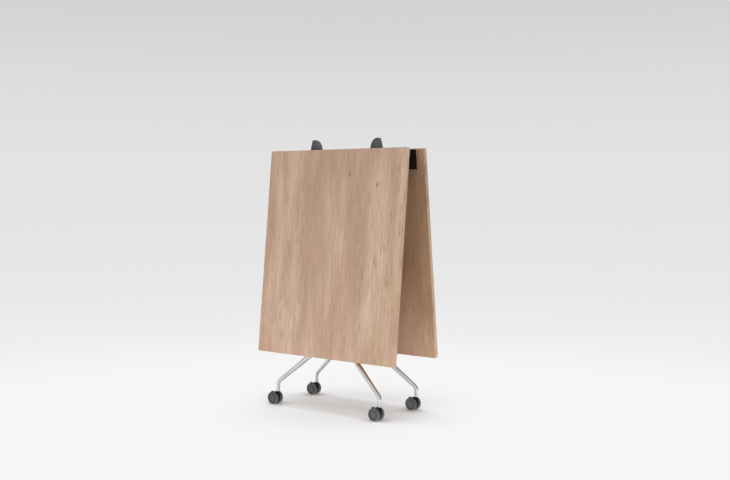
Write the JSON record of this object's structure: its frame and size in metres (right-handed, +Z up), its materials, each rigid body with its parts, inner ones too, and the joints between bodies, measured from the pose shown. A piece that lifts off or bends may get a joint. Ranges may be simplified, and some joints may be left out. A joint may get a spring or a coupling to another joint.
{
  "type": "centre-folding mobile table",
  "caption": "Mobile meeting table whose oak-faced leaves fold down against each other over a centre beam, on chrome pedestals with twin-wheel castors, stored folded.",
  "frame": {"origin": "on the floor, under the middle of the fold line", "axes": "+Z up, +X along the fold line, +Y from the front leaf to the back leaf"},
  "size_m": [0.75, 0.3256, 1.1759],
  "materials": {
    "oak_board": "matt oak decor",
    "black_steel": "fine-texture black powder coat",
    "plain_steel": "bright zinc",
    "chrome_tube": "polished chrome",
    "black_plastic": "moulded black",
    "grey_plastic": "moulded dark grey",
    "castor_wheel": "moulded dark grey"
  },
  "bodies": {
    "front_pedestal": {"front_leg_left": "chrome_tube", "front_leg_right": "chrome_tube", "front_column_cap_left": "black_plastic", "front_column_cap_right": "black_plastic", "front_pedestal_axle": "plain_steel", "front_pedestal_head": "black_steel", "front_column_clamp": "black_steel", "front_link_pin_foot": "plain_steel", "front_left_castor_stem": "plain_steel", "front_right_castor_stem": "plain_steel"},
    "front_leaf": {"front_top_board": "oak_board", "front_rail_left": "black_steel", "front_rail_right": "black_steel"},
    "front_link_arm": {"front_link": "black_steel"},
    "back_pedestal": {"back_leg_left": "chrome_tube", "back_leg_right": "chrome_tube", "back_column_cap_left": "black_plastic", "back_column_cap_right": "black_plastic", "back_pedestal_axle": "plain_steel", "back_pedestal_head": "black_steel", "back_column_clamp": "black_steel", "back_link_pin_foot": "plain_steel", "back_left_castor_stem": "plain_steel", "back_right_castor_stem": "plain_steel"},
    "back_leaf": {"back_top_board": "oak_board", "back_rail_left": "black_steel", "back_rail_right": "black_steel"},
    "back_link_arm": {"back_link": "black_steel"},
    "beam": {"centre_beam": "black_steel", "beam_end_cap_left": "black_plastic", "beam_end_cap_right": "black_plastic", "lever_pin_left": "plain_steel", "lever_pin_right": "plain_steel", "front_hinge_rod": "plain_steel", "back_hinge_rod": "plain_steel", "front_link_pin_top": "plain_steel", "back_link_pin_top": "plain_steel"},
    "left_lever": {"lever_left": "grey_plastic"},
    "right_lever": {"lever_right": "grey_plastic"},
    "front_left_castor": {"front_left_castor_housing": "grey_plastic", "front_left_castor_axle": "plain_steel"},
    "front_left_wheel_near": {"front_left_castor_wheel_near": "castor_wheel"},
    "front_left_wheel_far": {"front_left_castor_wheel_far": "castor_wheel"},
    "front_left_brake": {"front_left_castor_brake": "grey_plastic"},
    "front_right_castor": {"front_right_castor_housing": "grey_plastic", "front_right_castor_axle": "plain_steel"},
    "front_right_wheel_near": {"front_right_castor_wheel_near": "castor_wheel"},
    "front_right_wheel_far": {"front_right_castor_wheel_far": "castor_wheel"},
    "front_right_brake": {"front_right_castor_brake": "grey_plastic"},
    "back_left_castor": {"back_left_castor_housing": "grey_plastic", "back_left_castor_axle": "plain_steel"},
    "back_left_wheel_near": {"back_left_castor_wheel_near": "castor_wheel"},
    "back_left_wheel_far": {"back_left_castor_wheel_far": "castor_wheel"},
    "back_left_brake": {"back_left_castor_brake": "grey_plastic"},
    "back_right_castor": {"back_right_castor_housing": "grey_plastic", "back_right_castor_axle": "plain_steel"},
    "back_right_wheel_near": {"back_right_castor_wheel_near": "castor_wheel"},
    "back_right_wheel_far": {"back_right_castor_wheel_far": "castor_wheel"},
    "back_right_brake": {"back_right_castor_brake": "grey_plastic"}
  },
  "joints": [
    {"name": "fold", "type": "hinge", "parent": "front_pedestal", "child": "front_leaf", "pos_m": [0, -0.06892, 0.6905], "axis": [-1, 0, 0], "range_deg": [0, 83.95]},
    {"name": "beam_hinge", "type": "hinge", "parent": "front_leaf", "child": "beam", "pos_m": [0, -0.0255, 1.10021], "axis": [-1, 0, 0], "range_deg": [-83.95, 0]},
    {"name": "back_leaf_hinge", "type": "hinge", "parent": "beam", "child": "back_leaf", "pos_m": [0, 0.0255, 1.10021], "axis": [1, 0, 0], "range_deg": [0, 83.95]},
    {"name": "back_pedestal_hinge", "type": "hinge", "parent": "back_leaf", "child": "back_pedestal", "pos_m": [0, 0.06892, 0.6905], "axis": [1, 0, 0], "range_deg": [-83.95, 0]},
    {"name": "front_link_hinge", "type": "hinge", "parent": "beam", "child": "front_link_arm", "pos_m": [0, -0.0095, 1.02521], "axis": [-1, 0, 0], "range_deg": [0, 83.95]},
    {"name": "back_link_hinge", "type": "hinge", "parent": "beam", "child": "back_link_arm", "pos_m": [0, 0.0095, 1.02521], "axis": [1, 0, 0], "range_deg": [0, 83.95]},
    {"name": "left_lever_swing", "type": "hinge", "parent": "beam", "child": "left_lever", "pos_m": [-0.19, 0, 1.10621], "axis": [0, 1, 0], "range_deg": [0, 93]},
    {"name": "right_lever_swing", "type": "hinge", "parent": "beam", "child": "right_lever", "pos_m": [0.19, 0, 1.10621], "axis": [0, -1, 0], "range_deg": [0, 93]},
    {"name": "front_left_swivel", "type": "hinge", "parent": "front_pedestal", "child": "front_left_castor", "pos_m": [-0.2823, -0.1333, 0.057], "axis": [0, 0, 1], "continuous": true},
    {"name": "front_left_roll_near", "type": "hinge", "parent": "front_left_castor", "child": "front_left_wheel_near", "pos_m": [-0.2993, -0.1469, 0.0275], "axis": [0, 1, 0], "continuous": true},
    {"name": "front_left_roll_far", "type": "hinge", "parent": "front_left_castor", "child": "front_left_wheel_far", "pos_m": [-0.2993, -0.1197, 0.0275], "axis": [0, 1, 0], "continuous": true},
    {"name": "front_left_brake_press", "type": "hinge", "parent": "front_left_castor", "child": "front_left_brake", "pos_m": [-0.30422, -0.1333, 0.04585], "axis": [0, -1, 0], "range_deg": [0, 12]},
    {"name": "front_right_swivel", "type": "hinge", "parent": "front_pedestal", "child": "front_right_castor", "pos_m": [0.2823, -0.1333, 0.057], "axis": [0, 0, 1], "continuous": true},
    {"name": "front_right_roll_near", "type": "hinge", "parent": "front_right_castor", "child": "front_right_wheel_near", "pos_m": [0.2653, -0.1469, 0.0275], "axis": [0, 1, 0], "continuous": true},
    {"name": "front_right_roll_far", "type": "hinge", "parent": "front_right_castor", "child": "front_right_wheel_far", "pos_m": [0.2653, -0.1197, 0.0275], "axis": [0, 1, 0], "continuous": true},
    {"name": "front_right_brake_press", "type": "hinge", "parent": "front_right_castor", "child": "front_right_brake", "pos_m": [0.26038, -0.1333, 0.04585], "axis": [0, -1, 0], "range_deg": [0, 12]},
    {"name": "back_left_swivel", "type": "hinge", "parent": "back_pedestal", "child": "back_left_castor", "pos_m": [-0.2823, 0.1333, 0.057], "axis": [0, 0, 1], "continuous": true},
    {"name": "back_left_roll_near", "type": "hinge", "parent": "back_left_castor", "child": "back_left_wheel_near", "pos_m": [-0.2993, 0.1197, 0.0275], "axis": [0, 1, 0], "continuous": true},
    {"name": "back_left_roll_far", "type": "hinge", "parent": "back_left_castor", "child": "back_left_wheel_far", "pos_m": [-0.2993, 0.1469, 0.0275], "axis": [0, 1, 0], "continuous": true},
    {"name": "back_left_brake_press", "type": "hinge", "parent": "back_left_castor", "child": "back_left_brake", "pos_m": [-0.30422, 0.1333, 0.04585], "axis": [0, -1, 0], "range_deg": [0, 12]},
    {"name": "back_right_swivel", "type": "hinge", "parent": "back_pedestal", "child": "back_right_castor", "pos_m": [0.2823, 0.1333, 0.057], "axis": [0, 0, 1], "continuous": true},
    {"name": "back_right_roll_near", "type": "hinge", "parent": "back_right_castor", "child": "back_right_wheel_near", "pos_m": [0.2653, 0.1197, 0.0275], "axis": [0, 1, 0], "continuous": true},
    {"name": "back_right_roll_far", "type": "hinge", "parent": "back_right_castor", "child": "back_right_wheel_far", "pos_m": [0.2653, 0.1469, 0.0275], "axis": [0, 1, 0], "continuous": true},
    {"name": "back_right_brake_press", "type": "hinge", "parent": "back_right_castor", "child": "back_right_brake", "pos_m": [0.26038, 0.1333, 0.04585], "axis": [0, -1, 0], "range_deg": [0, 12]}
  ],
  "couplings": [
    {"joint": "beam_hinge", "follows": "fold", "ratio": -1},
    {"joint": "back_leaf_hinge", "follows": "fold", "ratio": 1},
    {"joint": "back_pedestal_hinge", "follows": "fold", "ratio": -1},
    {"joint": "front_link_hinge", "follows": "fold", "ratio": 1},
    {"joint": "back_link_hinge", "follows": "fold", "ratio": 1},
    {"joint": "left_lever_swing", "follows": "fold", "ratio": 1.1},
    {"joint": "right_lever_swing", "follows": "fold", "ratio": 1.1}
  ]
}
